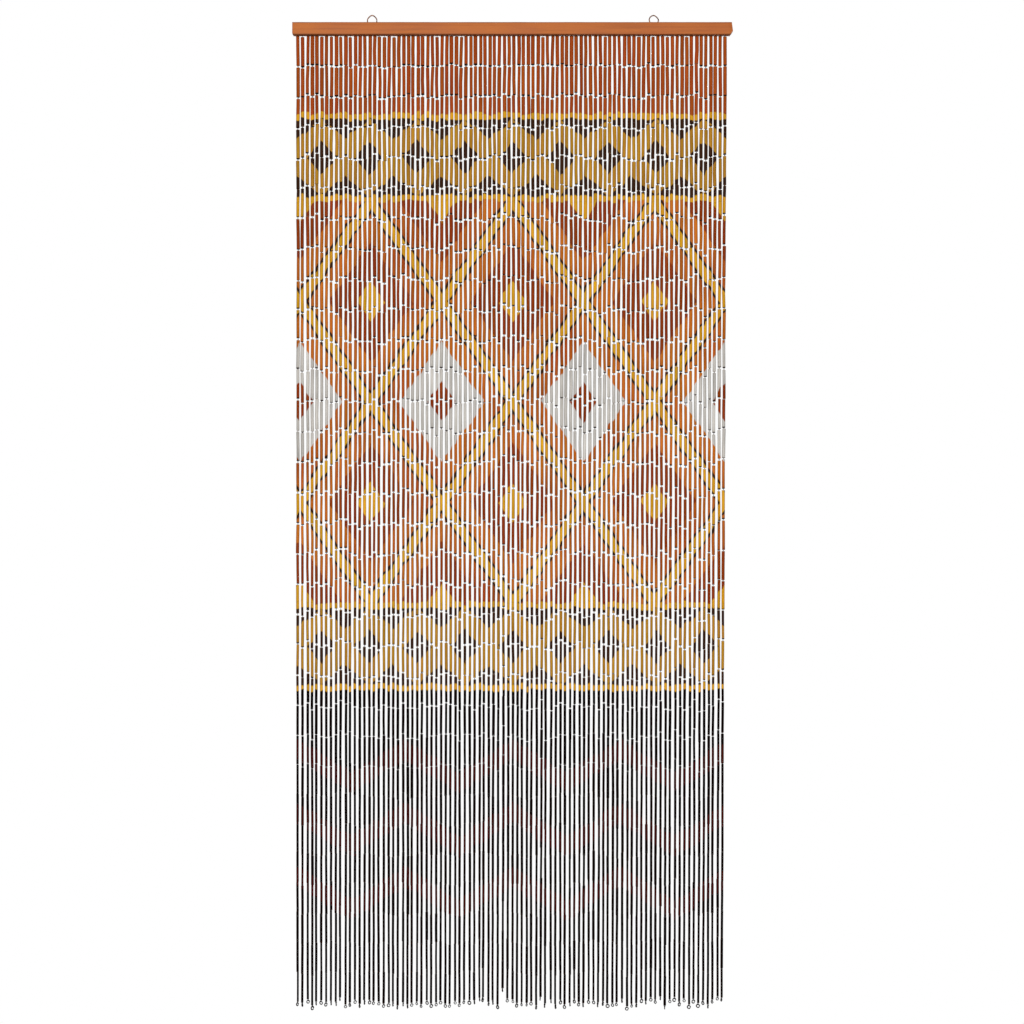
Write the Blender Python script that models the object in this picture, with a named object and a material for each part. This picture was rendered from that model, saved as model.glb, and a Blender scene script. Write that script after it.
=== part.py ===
"""Bamboo bead door curtain, 90 x 200 cm, on its wooden rail.

Ninety strands hang from a wire that lies in a groove under the rail, and two bent wire loops in the
rail's top carry it all. Metres, +Z up. The curtain faces -Y. The origin is midway along the rail, at
the height of the loops' inner tops, where the two hooks of a wall or door frame bear.
"""

import math
import random

import bmesh
import bpy

# Clearance between neighbouring pieces
GAP = 0.0003

# Wooden rail
RAIL_LENGTH = 0.900
RAIL_HEIGHT = 0.025
RAIL_DEPTH = 0.018
RAIL_EASE = 0.0008
LEFT_CHAMFER = 0.0018
RIGHT_CHAMFER_WIDTH = 0.0052
RIGHT_CHAMFER_HEIGHT = 0.0070
RIGHT_LEAN = 0.0023
GROOVE_LENGTH = 0.886
GROOVE_WIDTH = 0.003
GROOVE_DEPTH = 0.005

# Hanging loops of bent wire. The shoulder is the height above the rail where a loop is widest. A row
# for each: node, place along the rail, outer width, half the distance between its legs, roundness of
# its left and of its right half. Roundness 2 is a circle's, and a lower one is straighter.
LOOP_WIRE = 0.002
LOOP_HEIGHT = 0.0166
LOOP_SHOULDER = 0.0058
LOOP_SEAT = 0.009
LOOP_STEPS = 14
HOLE_SIDES = 12
LOOPS = (
    ("hanging_loop_left", -0.2873, 0.0213, 0.0093, 1.6, 1.6),
    ("hanging_loop_right", 0.2889, 0.0213, 0.00765, 2.0, 1.4),
)

# Heights that follow from the sizes above
RAIL_TOP = LOOP_WIRE - LOOP_HEIGHT
RAIL_UNDERSIDE = RAIL_TOP - RAIL_HEIGHT

# Strip that stands for the carrying wire, and the strands' roots on it
STRIP_HEIGHT = 0.0030
STRIP_DEPTH = GROOVE_WIDTH - 2 * GAP
STRIP_OVERHANG = 0.0025
ROOT_WIDTH = 0.0020
NECK_WIDTH = 0.0016

# Strands, as square rods as thick as their tubes. The reach runs from the rail's top to the rings'
# lowest points, and the slack from the rail's underside to a strand's first tube
SEED = 90
STRAND_COUNT = 90
FIRST_TOP_X = -0.4391
LAST_TOP_X = 0.4348
FIRST_BOTTOM_X = -0.4399
LAST_BOTTOM_X = 0.4280
STRAND_REACH = 2.0102
REACH_SPREAD = 0.005
REACH_LIMIT = 0.011
SHORT_STRAND = 43
SHORT_BY = 0.024
SLACK_LEAST = 0.0004
SLACK_MOST = 0.0070
SLACK_POWER = 3.5
SHOULDER = 0.0005
WANDER_SHARE = 0.40
DEPTH_WANDER = 0.0012
OWN_SHARE = 0.55

# Thickness of a strand down its length. A row for each section: drop below the rail, thickness
TOP_THICKNESS = 0.0068
END_THICKNESS = 0.0042
SECTIONS = (
    (0.155, 0.0066),
    (0.460, 0.0061),
    (0.760, 0.0055),
    (1.060, 0.0050),
    (1.360, 0.0046),
    (1.660, 0.0043),
)

# Wire ring at the end of each strand, as a flat lozenge of the ring's outer size
RING_LEAST = 0.0064
RING_MOST = 0.0092
RING_WIRE = 0.0012
RING_TIP_WIDTH = 0.0024
RING_NECK = 0.0016
RING_SWING = 0.0010


def new_material(name, colour, roughness, metallic=0.0):
    """A Principled material with one colour, given in linear RGB."""
    material = bpy.data.materials.new(name)
    material.use_nodes = True
    shader = material.node_tree.nodes["Principled BSDF"]
    shader.inputs["Base Color"].default_value = (*colour, 1.0)
    shader.inputs["Roughness"].default_value = roughness
    shader.inputs["Metallic"].default_value = metallic
    return material


def add_object(name, data, material=None):
    """Links a new object into the scene and gives it its material."""
    obj = bpy.data.objects.new(name, data)
    bpy.context.scene.collection.objects.link(obj)
    if material:
        data.materials.append(material)
    return obj


def add_box(name, size, centre):
    """A box object of the given size, placed by its centre."""
    shape = bmesh.new()
    bmesh.ops.create_cube(shape, size=1.0)
    bmesh.ops.scale(shape, vec=size, verts=shape.verts)
    mesh = bpy.data.meshes.new(name)
    shape.to_mesh(mesh)
    shape.free()
    box = add_object(name, mesh)
    box.location = centre
    return box


def cut_from(target, cutter):
    """Cuts the cutter's shape out of the target and hides the cutter."""
    cutter.hide_render = True
    cutter.display_type = "WIRE"
    cut = target.modifiers.new(cutter.name, "BOOLEAN")
    cut.operation = "DIFFERENCE"
    cut.object = cutter


def loop_hole(name, x):
    """A drill for one leg of a hanging loop: a blind hole in the rail's top."""
    shape = bmesh.new()
    length = 2 * (LOOP_SEAT + GAP)
    radius = LOOP_WIRE / 2 + GAP
    bmesh.ops.create_cone(
        shape, cap_ends=True, segments=HOLE_SIDES, radius1=radius, radius2=radius, depth=length
    )
    mesh = bpy.data.meshes.new(name)
    shape.to_mesh(mesh)
    shape.free()
    drill = add_object(name, mesh)
    drill.location = (x, 0.0, RAIL_TOP)
    return drill


def build_rail():
    """The batten: its front outline, extruded to its depth, then eased, grooved and drilled."""
    half = RAIL_LENGTH / 2
    outline = (
        (-half, RAIL_TOP),
        (half - RIGHT_LEAN, RAIL_TOP),
        (half, RAIL_UNDERSIDE + RIGHT_CHAMFER_HEIGHT),
        (half - RIGHT_CHAMFER_WIDTH, RAIL_UNDERSIDE),
        (-half + LEFT_CHAMFER, RAIL_UNDERSIDE),
        (-half, RAIL_UNDERSIDE + LEFT_CHAMFER),
    )
    shape = bmesh.new()
    front = shape.faces.new([shape.verts.new((x, -RAIL_DEPTH / 2, z)) for x, z in outline])
    back = bmesh.ops.extrude_face_region(shape, geom=[front])
    back_points = [item for item in back["geom"] if isinstance(item, bmesh.types.BMVert)]
    bmesh.ops.translate(shape, vec=(0.0, RAIL_DEPTH, 0.0), verts=back_points)
    bmesh.ops.recalc_face_normals(shape, faces=shape.faces)
    mesh = bpy.data.meshes.new("rail")
    shape.to_mesh(mesh)
    shape.free()
    rail = add_object("rail", mesh, new_material("painted_wood", (0.485, 0.153, 0.048), 0.55))

    ease = rail.modifiers.new("ease", "BEVEL")
    ease.width = RAIL_EASE
    ease.segments = 2
    ease.limit_method = "ANGLE"

    groove_size = (GROOVE_LENGTH, GROOVE_WIDTH, 2 * GROOVE_DEPTH)
    cut_from(rail, add_box("rail_groove", groove_size, (0.0, 0.0, RAIL_UNDERSIDE)))
    for node, x, _, foot, _, _ in LOOPS:
        cut_from(rail, loop_hole(node + "_hole_a", x - foot))
        cut_from(rail, loop_hole(node + "_hole_b", x + foot))
    return rail


def loop_line(width, foot, left, right):
    """Centre line of a hanging loop, left leg to right leg, about its own middle on the rail."""
    half = (width - LOOP_WIRE) / 2
    rise = LOOP_HEIGHT - LOOP_WIRE / 2 - LOOP_SHOULDER
    points = [(-foot, -LOOP_SEAT), (-foot, 2 * GAP)]
    for step in range(LOOP_STEPS + 1):
        angle = math.pi * (1 - step / LOOP_STEPS)
        power = 2 / (left if math.cos(angle) < 0 else right)
        across = math.copysign(abs(math.cos(angle)) ** power, math.cos(angle))
        points.append((half * across, LOOP_SHOULDER + rise * abs(math.sin(angle)) ** power))
    points += [(foot, 2 * GAP), (foot, -LOOP_SEAT)]
    return points


def build_loop(name, x, points, material):
    """One bent wire loop, its legs seated in the rail's holes."""
    curve = bpy.data.curves.new(name, "CURVE")
    curve.dimensions = "3D"
    curve.bevel_depth = LOOP_WIRE / 2
    curve.bevel_resolution = 2
    curve.use_fill_caps = True
    line = curve.splines.new("POLY")
    line.points.add(len(points) - 1)
    for point, (along, up) in zip(line.points, points):
        point.co = (along, 0.0, up, 1.0)
    loop = add_object(name, curve, material)
    loop.location = (x, 0.0, RAIL_TOP)
    return loop


def between(first, last, share):
    """The value at a share of the way from the first to the last."""
    return first + (last - first) * share


def wander(rng, count):
    """Sideways offsets down a strand, each from -1 to 1, that keep a bias of the strand's own."""
    own = rng.uniform(-1.0, 1.0)
    return [OWN_SHARE * own + (1 - OWN_SHARE) * rng.uniform(-1.0, 1.0) for _ in range(count)]


def strand_sections(index, rng):
    """One strand's sizes. Its rings run down to the end of its last tube, and each holds x, y, drop
    below the rail and thickness."""
    place = index / (STRAND_COUNT - 1)
    top_x = between(FIRST_TOP_X, LAST_TOP_X, place)
    bottom_x = between(FIRST_BOTTOM_X, LAST_BOTTOM_X, place)
    pitch = (LAST_BOTTOM_X - FIRST_BOTTOM_X) / (STRAND_COUNT - 1)

    reach = STRAND_REACH - RAIL_HEIGHT
    spread = max(-REACH_LIMIT, min(REACH_LIMIT, rng.gauss(0.0, REACH_SPREAD)))
    reach += spread - (SHORT_BY if index == SHORT_STRAND else 0.0)
    ring = rng.uniform(RING_LEAST, RING_MOST)
    slack = between(SLACK_LEAST, SLACK_MOST, rng.random() ** SLACK_POWER)

    rows = [(slack + SHOULDER, TOP_THICKNESS), *SECTIONS]
    rows.append((reach - ring - RING_NECK, END_THICKNESS))
    sideways = wander(rng, len(rows))
    inward = wander(rng, len(rows))
    rings = []
    for (drop, thick), across, deep in zip(rows, sideways, inward):
        x = between(top_x, bottom_x, drop / reach) + across * WANDER_SHARE * (pitch - thick)
        rings.append((x, deep * DEPTH_WANDER, drop, thick))
    return {
        "rings": rings,
        "slack": slack,
        "reach": reach,
        "ring": ring,
        "turn": rng.uniform(0.0, math.pi),
        "swing": rng.uniform(-1.0, 1.0) * RING_SWING,
    }


def ring_place(strand):
    """Where a strand's end ring hangs along the rail."""
    return strand["rings"][-1][0] + strand["swing"]


def ring_half_width(strands, index):
    """Half the lozenge's width, kept clear of the lozenges of both neighbours."""
    strand = strands[index]
    beside = strands[max(0, index - 1) : index] + strands[index + 1 : index + 2]
    nearest = min(abs(ring_place(strand) - ring_place(other)) for other in beside)
    facing = abs(math.cos(strand["turn"])) * strand["ring"] / 2
    return max(RING_WIRE / 2, min(facing, nearest / 2 - GAP))


def move_face(face, centre, half_x, half_y):
    """Places a face's four corners, which lie on each side of its middle, about a new centre."""
    middle = face.calc_center_median()
    for vert in face.verts:
        side_x = math.copysign(half_x, vert.co.x - middle.x)
        side_y = math.copysign(half_y, vert.co.y - middle.y)
        vert.co = (centre[0] + side_x, centre[1] + side_y, centre[2])


def grow(shape, face, rows):
    """Extrudes a face downwards, ring by ring. A row holds x, y, z, half width and half depth."""
    for x, y, z, half_x, half_y in rows:
        face = bmesh.ops.extrude_discrete_faces(shape, faces=[face])["faces"][0]
        move_face(face, (x, y, z), half_x, half_y)


def strand_rows(strands, index):
    """All rings of a strand below its root: neck, rod, neck and the end ring's lozenge."""
    strand = strands[index]
    top_x = strand["rings"][0][0]
    neck = NECK_WIDTH / 2
    rows = [(top_x, 0.0, RAIL_UNDERSIDE - strand["slack"], neck, neck)]
    for x, y, drop, thick in strand["rings"]:
        rows.append((x, y, RAIL_UNDERSIDE - drop, thick / 2, thick / 2))

    hang_x = ring_place(strand)
    end_y = strand["rings"][-1][1]
    bottom = RAIL_UNDERSIDE - strand["reach"]
    ring = strand["ring"]
    half_x = ring_half_width(strands, index)
    half_y = max(RING_WIRE / 2, abs(math.sin(strand["turn"])) * ring / 2)
    tip = RING_TIP_WIDTH / 2
    rows.append((hang_x, end_y, bottom + ring, RING_WIRE / 2, RING_WIRE / 2))
    rows.append((hang_x, end_y, bottom + ring / 2, half_x, half_y))
    rows.append((hang_x, end_y, bottom, min(tip, half_x), min(tip, half_y)))
    return rows


def build_strands():
    """The strip in the rail's groove, with every strand extruded from its underside."""
    rng = random.Random(SEED)
    strands = [strand_sections(index, rng) for index in range(STRAND_COUNT)]
    roots = [strand["rings"][0][0] for strand in strands]

    cuts = [roots[0] - STRIP_OVERHANG]
    for root in roots:
        cuts += [root - ROOT_WIDTH / 2, root + ROOT_WIDTH / 2]
    cuts.append(roots[-1] + STRIP_OVERHANG)

    top = RAIL_UNDERSIDE + GROOVE_DEPTH - GAP
    shape = bmesh.new()
    edges = [
        [shape.verts.new((x, y, top - STRIP_HEIGHT)) for y in (-STRIP_DEPTH / 2, STRIP_DEPTH / 2)]
        for x in cuts
    ]
    cells = [
        shape.faces.new((near[0], near[1], far[1], far[0])) for near, far in zip(edges, edges[1:])
    ]
    root_cells = cells[1::2]
    lid = bmesh.ops.extrude_face_region(shape, geom=cells, use_keep_orig=True)
    lid_points = [item for item in lid["geom"] if isinstance(item, bmesh.types.BMVert)]
    bmesh.ops.translate(shape, vec=(0.0, 0.0, STRIP_HEIGHT), verts=lid_points)
    for index, cell in enumerate(root_cells):
        grow(shape, cell, strand_rows(strands, index))
    bmesh.ops.recalc_face_normals(shape, faces=shape.faces)

    mesh = bpy.data.meshes.new("strands")
    shape.to_mesh(mesh)
    shape.free()
    return add_object("strands", mesh, new_material("painted_bamboo", (0.40, 0.13, 0.035), 0.6))


def main():
    for obj in list(bpy.data.objects):
        bpy.data.objects.remove(obj)
    build_rail()
    wire = new_material("steel_wire", (0.22, 0.17, 0.13), 0.45, 1.0)
    for node, x, *form in LOOPS:
        build_loop(node, x, loop_line(*form), wire)
    build_strands()


main()
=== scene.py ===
# %% [markdown]
# A bamboo bead door curtain.
# Ninety strands of slim painted bamboo tubes hang from a wooden rail, and two wire loops carry it. The
# plain CAD model is loaded first. It says where every piece goes, so nothing is placed by eye. All
# lengths are in metres, and the curtain faces -Y.

# %% Load the frame
import math

import bmesh
import bpy
import numpy as np
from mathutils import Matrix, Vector


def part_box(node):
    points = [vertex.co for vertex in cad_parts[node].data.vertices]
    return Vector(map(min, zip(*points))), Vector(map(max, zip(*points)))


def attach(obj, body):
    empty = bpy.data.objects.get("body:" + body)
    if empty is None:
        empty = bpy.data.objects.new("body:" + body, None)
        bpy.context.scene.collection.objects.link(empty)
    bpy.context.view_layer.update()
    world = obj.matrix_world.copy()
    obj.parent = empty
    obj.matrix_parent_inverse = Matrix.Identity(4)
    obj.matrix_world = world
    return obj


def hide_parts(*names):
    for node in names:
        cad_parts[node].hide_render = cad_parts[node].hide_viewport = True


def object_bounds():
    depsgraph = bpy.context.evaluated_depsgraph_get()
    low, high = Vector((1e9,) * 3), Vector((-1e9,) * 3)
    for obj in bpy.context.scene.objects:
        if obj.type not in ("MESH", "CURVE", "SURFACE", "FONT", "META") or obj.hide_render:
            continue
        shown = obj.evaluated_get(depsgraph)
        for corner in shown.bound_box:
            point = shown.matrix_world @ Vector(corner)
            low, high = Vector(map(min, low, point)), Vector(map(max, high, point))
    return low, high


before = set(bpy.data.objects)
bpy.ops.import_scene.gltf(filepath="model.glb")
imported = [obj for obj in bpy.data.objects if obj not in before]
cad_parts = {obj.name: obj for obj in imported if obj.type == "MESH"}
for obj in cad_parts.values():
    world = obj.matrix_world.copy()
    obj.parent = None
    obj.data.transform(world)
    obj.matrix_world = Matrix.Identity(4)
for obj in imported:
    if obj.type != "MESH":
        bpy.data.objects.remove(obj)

cad_low, cad_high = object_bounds()
print("CAD box", tuple(cad_low), tuple(cad_high))

# %% [markdown]
# The camera.
# The photograph looks straight at the curtain from the height of its middle, so nothing of the rail's
# top shows. The camera's place follows from the rail's size in the picture: 4 m away, with a view
# 2.09 m wide at the rail's front.

# %% Place the camera
VIEW_DISTANCE = 4.0
VIEW_WIDTH = 2.09
EYE_X = -0.0013
EYE_DROP = 1.0001

rail_low, rail_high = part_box("rail")
eye = (EYE_X, rail_low.y - VIEW_DISTANCE, rail_high.z - EYE_DROP)
bpy.ops.object.select_all(action="DESELECT")
bpy.ops.object.camera_add(location=eye, rotation=(math.pi / 2, 0.0, 0.0))
camera = bpy.context.active_object
camera.name = "camera"
camera.data.angle = 2 * math.atan(VIEW_WIDTH / 2 / VIEW_DISTANCE)
bpy.context.scene.camera = camera
print("camera at", eye, "angle", round(math.degrees(camera.data.angle), 2))

# %% [markdown]
# Studio light.
# Painted tubes read as round when their middles face the light and their sides fall off. One large soft
# lamp near the camera does that, and a weaker one behind keeps the back view readable. The camera sees
# a white surrounding, but the tubes receive only a share of it, so that their sides stay darker.

# %% Light the scene
SKY_STRENGTH = 0.17
# A row for each lamp: name, place, size in metres, power in watts
LAMPS = (
    ("front_lamp", (-0.9, -5.2, 0.7), 2.2, 215.0),
    ("side_lamp", (2.9, -3.6, -0.4), 2.0, 34.0),
    ("back_lamp", (0.6, 4.8, 0.6), 2.6, 120.0),
)
centre = (cad_low + cad_high) / 2
for name, place, size, power in LAMPS:
    bpy.ops.object.light_add(type="AREA", location=place)
    lamp = bpy.context.active_object
    lamp.name = name
    lamp.data.size = size
    lamp.data.energy = power
    lamp.rotation_euler = (centre - lamp.location).to_track_quat("-Z", "Y").to_euler()

world = bpy.data.worlds.new("studio")
bpy.context.scene.world = world
world.use_nodes = True
sky = world.node_tree
seen, given = sky.nodes["Background"], sky.nodes.new("ShaderNodeBackground")
for background in (seen, given):
    background.inputs["Color"].default_value = (1.0, 1.0, 1.0, 1.0)
given.inputs["Strength"].default_value = SKY_STRENGTH
ray = sky.nodes.new("ShaderNodeLightPath")
choice = sky.nodes.new("ShaderNodeMixShader")
sky.links.new(ray.outputs["Is Camera Ray"], choice.inputs["Fac"])
sky.links.new(given.outputs["Background"], choice.inputs[1])
sky.links.new(seen.outputs["Background"], choice.inputs[2])
sky.links.new(choice.outputs["Shader"], sky.nodes["World Output"].inputs["Surface"])
bpy.context.scene.view_settings.view_transform = "Standard"
print("lamps:", len(LAMPS))

# %% [markdown]
# Small helpers for materials.
# A procedural material is a chain of small nodes. A few helpers keep the chains readable: they
# calculate with numbers, and lay a colour over another where a mask is 1. All of them work on the
# material in hand, whose node tree has the name tree.

# %% Material helpers
def linear(red, green, blue):
    """A colour as picked on the screen, 0 to 255, in the linear values that nodes use."""
    shares = [channel / 255 for channel in (red, green, blue)]
    return (*[s / 12.92 if s <= 0.04045 else ((s + 0.055) / 1.055) ** 2.4 for s in shares], 1.0)


def plug(socket, value):
    """Links another node's output to a socket, or sets a plain value on it."""
    if isinstance(value, bpy.types.NodeSocket):
        tree.links.new(value, socket)
    else:
        socket.default_value = value


def number(operation, *values, clamp=False):
    """The result of a Math node on these values."""
    node = tree.nodes.new("ShaderNodeMath")
    node.operation = operation
    node.use_clamp = clamp
    for socket, value in zip(node.inputs, values):
        plug(socket, value)
    return node.outputs["Value"]


def times(value, factor):
    """One value multiplied by another."""
    return number("MULTIPLY", value, factor)


def scaled(value, factor, shift):
    """A value multiplied by a factor, plus a shift."""
    return number("MULTIPLY_ADD", value, factor, shift)


def off(value, middle):
    """Distance of a value from a middle, without its sign."""
    return number("ABSOLUTE", number("SUBTRACT", value, middle))


def lay(under, over, mask):
    """The colour under, with the colour over on top of it where the mask is 1."""
    node = tree.nodes.new("ShaderNodeMix")
    node.data_type = "RGBA"
    plug(node.inputs["Factor"], mask)
    plug(node.inputs[6], under)
    plug(node.inputs[7], over)
    return node.outputs[2]


# %% [markdown]
# Helpers for noise and finish.
# Wood, bamboo and worn metal are never even. Noise that is stretched along one axis gives fibres, and
# unstretched it gives blotches. Each new material starts as a Principled shader with its even values
# set on the sockets.

# %% Noise and shader helpers
def noise(scale, stretch=(1.0, 1.0, 1.0), detail=3.0):
    """Noise from 0 to 1 on the piece's own axes, long on an axis with a small stretch value."""
    place = tree.nodes.new("ShaderNodeTexCoord")
    turn = tree.nodes.new("ShaderNodeMapping")
    turn.inputs["Scale"].default_value = stretch
    grain = tree.nodes.new("ShaderNodeTexNoise")
    grain.inputs["Scale"].default_value = scale
    grain.inputs["Detail"].default_value = detail
    plug(turn.inputs["Vector"], place.outputs["Object"])
    plug(grain.inputs["Vector"], turn.outputs["Vector"])
    return grain.outputs[0]


def own_axes():
    """The piece's own X, Y and Z."""
    place = tree.nodes.new("ShaderNodeTexCoord")
    split = tree.nodes.new("ShaderNodeSeparateXYZ")
    plug(split.inputs["Vector"], place.outputs["Object"])
    return split.outputs


def spread(value, low, high, to_low=0.0, to_high=1.0):
    """Maps the range low..high of a value to another range, and keeps it inside."""
    node = tree.nodes.new("ShaderNodeMapRange")
    for socket, item in zip(node.inputs, (value, low, high, to_low, to_high)):
        plug(socket, item)
    return node.outputs["Result"]


def new_finish(name, roughness, metallic=0.0, specular=0.5):
    """A new material, its Principled shader and its node tree."""
    material = bpy.data.materials.new(name)
    material.use_nodes = True
    shader = material.node_tree.nodes["Principled BSDF"]
    shader.inputs["Roughness"].default_value = roughness
    shader.inputs["Metallic"].default_value = metallic
    shader.inputs["Specular IOR Level"].default_value = specular
    return material, shader, material.node_tree


def colour(shader, base, roughness):
    """Links a colour and a roughness to a shader."""
    plug(shader.inputs["Base Color"], base)
    plug(shader.inputs["Roughness"], roughness)


def bump(shader, height, distance, strength):
    """Raises the surface where the height is large. The distance is in metres."""
    node = tree.nodes.new("ShaderNodeBump")
    node.inputs["Strength"].default_value = strength
    node.inputs["Distance"].default_value = distance
    plug(node.inputs["Height"], height)
    plug(shader.inputs["Normal"], node.outputs["Normal"])


# %% [markdown]
# Helpers for modelling.
# Operators act on whatever is selected. So everything is deselected before a primitive is added, and
# in edit mode the faces or edges are picked by a small test of their place. The other helpers take up
# what many pieces share: smooth shading, a ring to start from, and the way out of edit mode.

# %% Modelling helpers
MERGE_DISTANCE = 1e-6


def fresh():
    """Clears the selection, so that the next operator meets only the new piece."""
    if bpy.context.mode != "OBJECT":
        bpy.ops.object.mode_set(mode="OBJECT")
    bpy.ops.object.select_all(action="DESELECT")


def take(piece):
    """Makes a piece the only selected one, and the active one."""
    fresh()
    piece.select_set(True)
    bpy.context.view_layer.objects.active = piece


def smooth(angle):
    """Shades the active piece smooth where its faces meet at less than this angle, in degrees."""
    bpy.ops.object.shade_smooth_by_angle(angle=math.radians(angle))


def start_ring(outer, wire, segments, sides, turn=0.0):
    """A standing ring of round wire, in edit mode. Unturned, it faces the front."""
    fresh()
    bpy.ops.mesh.primitive_torus_add(
        major_segments=segments,
        minor_segments=sides,
        major_radius=(outer - wire) / 2,
        minor_radius=wire / 2,
        rotation=(math.pi / 2, 0.0, turn),
    )
    bpy.ops.object.transform_apply()
    bpy.ops.object.mode_set(mode="EDIT")


def pick(kind, wanted):
    """In edit mode, selects the faces, edges or verts for which the test holds."""
    bpy.ops.mesh.select_mode(type={"faces": "FACE", "edges": "EDGE", "verts": "VERT"}[kind])
    bpy.ops.mesh.select_all(action="DESELECT")
    mesh = bpy.context.active_object.data
    cage = bmesh.from_edit_mesh(mesh)
    chosen = [item for item in getattr(cage, kind) if wanted(item)]
    for item in chosen:
        item.select_set(True)
    cage.select_flush_mode()
    bmesh.update_edit_mesh(mesh)


def leave_edit(name):
    """Ends edit mode with all faces turned outwards, and names the piece."""
    bpy.ops.mesh.select_all(action="SELECT")
    bpy.ops.mesh.remove_doubles(threshold=MERGE_DISTANCE)
    bpy.ops.mesh.normals_make_consistent(inside=False)
    cage = bmesh.from_edit_mesh(bpy.context.active_object.data)
    if cage.calc_volume(signed=True) < 0:
        bpy.ops.mesh.flip_normals()
    bpy.ops.object.mode_set(mode="OBJECT")
    piece = bpy.context.active_object
    piece.name = name
    piece.data.name = name
    bpy.ops.object.transform_apply()
    return piece


def apply_modifier(piece, kind, **settings):
    """Adds a modifier, sets it and applies it."""
    modifier = piece.modifiers.new(kind.lower(), kind)
    for key, value in settings.items():
        setattr(modifier, key, value)
    bpy.context.view_layer.objects.active = piece
    bpy.ops.object.modifier_apply(modifier=modifier.name)


# %% [markdown]
# Helpers that finish a piece.
# Every piece is tied to the CAD body it moves with and gets its materials, and the CAD node that it
# replaces is hidden. A test for open edges tells at once whether a shape is closed.

# %% Helpers that finish a piece
def report(piece):
    """Prints the piece's size in faces and how many of its edges are open."""
    shape = bmesh.new()
    shape.from_mesh(piece.data)
    loose = sum(len(edge.link_faces) != 2 for edge in shape.edges)
    corners = sum(len(face.verts) - 2 for face in shape.faces)
    volume = shape.calc_volume(signed=True)
    shape.free()
    print(f"{piece.name}: {corners} triangles, {loose} open edges, {volume * 1e9:.0f} mm3")


def hand_in(piece, finishes, replaced):
    """Gives a piece its materials, ties it to the frame and reports it."""
    piece.data.materials.clear()
    for finish in finishes:
        piece.data.materials.append(finish)
    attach(piece, "root")
    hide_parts(replaced)
    report(piece)


# %% [markdown]
# Painted wood for the rail.
# The rail is a pine batten under one thin coat of terracotta paint. The grain comes from stretched
# noise, and the coat is blotchy. The edges, which hands and dust have darkened, come from the distance
# to the rail's own faces, broken up by noise.

# %% Make the painted wood
painted_wood, wood_shader, tree = new_finish("painted_wood", 0.55, specular=0.22)
grain = noise(220.0, (0.03, 1.0, 1.0), detail=5.0)
blotch = noise(26.0, (0.35, 1.0, 1.0))
speck = noise(900.0, (0.25, 1.0, 1.0), detail=2.0)

coat = lay(linear(180, 96, 38), linear(196, 112, 50), spread(blotch, 0.35, 0.68))
streaks = times(spread(grain, 0.50, 0.72), 0.42)
coat = lay(coat, linear(138, 70, 35), streaks)
pores = times(spread(speck, 0.66, 0.74), 0.40)
coat = lay(coat, linear(104, 50, 26), pores)

# %% Darken the rail's edges
rail_middle = (rail_low + rail_high) / 2
rail_size = rail_high - rail_low
axes = own_axes()
edge_y = number("SUBTRACT", rail_size.y / 2, off(axes["Y"], rail_middle.y))
edge_z = number("SUBTRACT", rail_size.z / 2, off(axes["Z"], rail_middle.z))
edge = number("MAXIMUM", edge_y, edge_z)
ragged = scaled(blotch, -0.0032, scaled(grain, -0.0020, edge))
soiled = times(spread(ragged, -0.0024, -0.0004, 1.0, 0.0), 0.75)
coat = lay(coat, linear(104, 62, 36), soiled)
colour(wood_shader, coat, spread(blotch, 0.3, 0.7, 0.48, 0.66))
bump(wood_shader, grain, 0.0006, 0.30)
print("painted wood nodes:", len(tree.nodes))

# %% [markdown]
# The rail, sawn from a batten.
# A cube of the CAD rail's size is cut across many times, so that it can be a little uneven. Then three
# slanted cuts trim its ends: the right end leans in, and both lower corners are cut off. Bisect with a
# filled cut is the saw.

# %% Saw the batten
RAIL_CUTS = 90
LEFT_CORNER = 0.0018
RIGHT_CORNER = (0.0052, 0.0070)
RIGHT_LEAN = 0.00235

fresh()
bpy.ops.mesh.primitive_cube_add(size=1.0, location=rail_middle)
batten = bpy.context.active_object
batten.scale = rail_size
bpy.ops.object.transform_apply()
bpy.ops.object.mode_set(mode="EDIT")
pick("edges", lambda edge: edge.calc_length() > rail_size.x / 2)
bpy.ops.mesh.subdivide(number_cuts=RAIL_CUTS)

corner_x, corner_z = RIGHT_CORNER
saw_cuts = (
    ((rail_low.x + LEFT_CORNER, 0.0, rail_low.z), (-1.0, 0.0, -1.0)),
    ((rail_high.x - corner_x, 0.0, rail_low.z), (corner_z, 0.0, -corner_x)),
    ((rail_high.x - RIGHT_LEAN, 0.0, rail_high.z), (rail_size.z - corner_z, 0.0, RIGHT_LEAN - 0.0001)),
)
for point, normal in saw_cuts:
    bpy.ops.mesh.select_all(action="SELECT")
    facing = Vector(normal).normalized()
    bpy.ops.mesh.bisect(plane_co=point, plane_no=facing, use_fill=True, clear_outer=True)
wooden_rail = leave_edit("wooden_rail")
report(wooden_rail)

# %% [markdown]
# Soft edges and the unevenness of a planed batten.
# No real edge is sharp. A Bevel rounds every corner by 0.8 mm, and a Displace with a cloud pattern
# makes the long edges run a little unevenly. Both are applied, so that the next cuts meet the final
# shape.

# %% Ease and wave the rail
apply_modifier(wooden_rail, "BEVEL", width=0.0008, segments=3, limit_method="ANGLE")
clouds = bpy.data.textures.new("planing_marks", "CLOUDS")
clouds.noise_scale = 0.035
apply_modifier(
    wooden_rail, "DISPLACE", texture=clouds, strength=0.00035, mid_level=0.5, texture_coords="LOCAL"
)
report(wooden_rail)

# %% [markdown]
# The groove and the drilled holes.
# The carrying wire lies in a groove under the rail, and each leg of the loops sits in a drilled hole.
# Both are cut with Boolean cutters, which are then removed.

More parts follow.
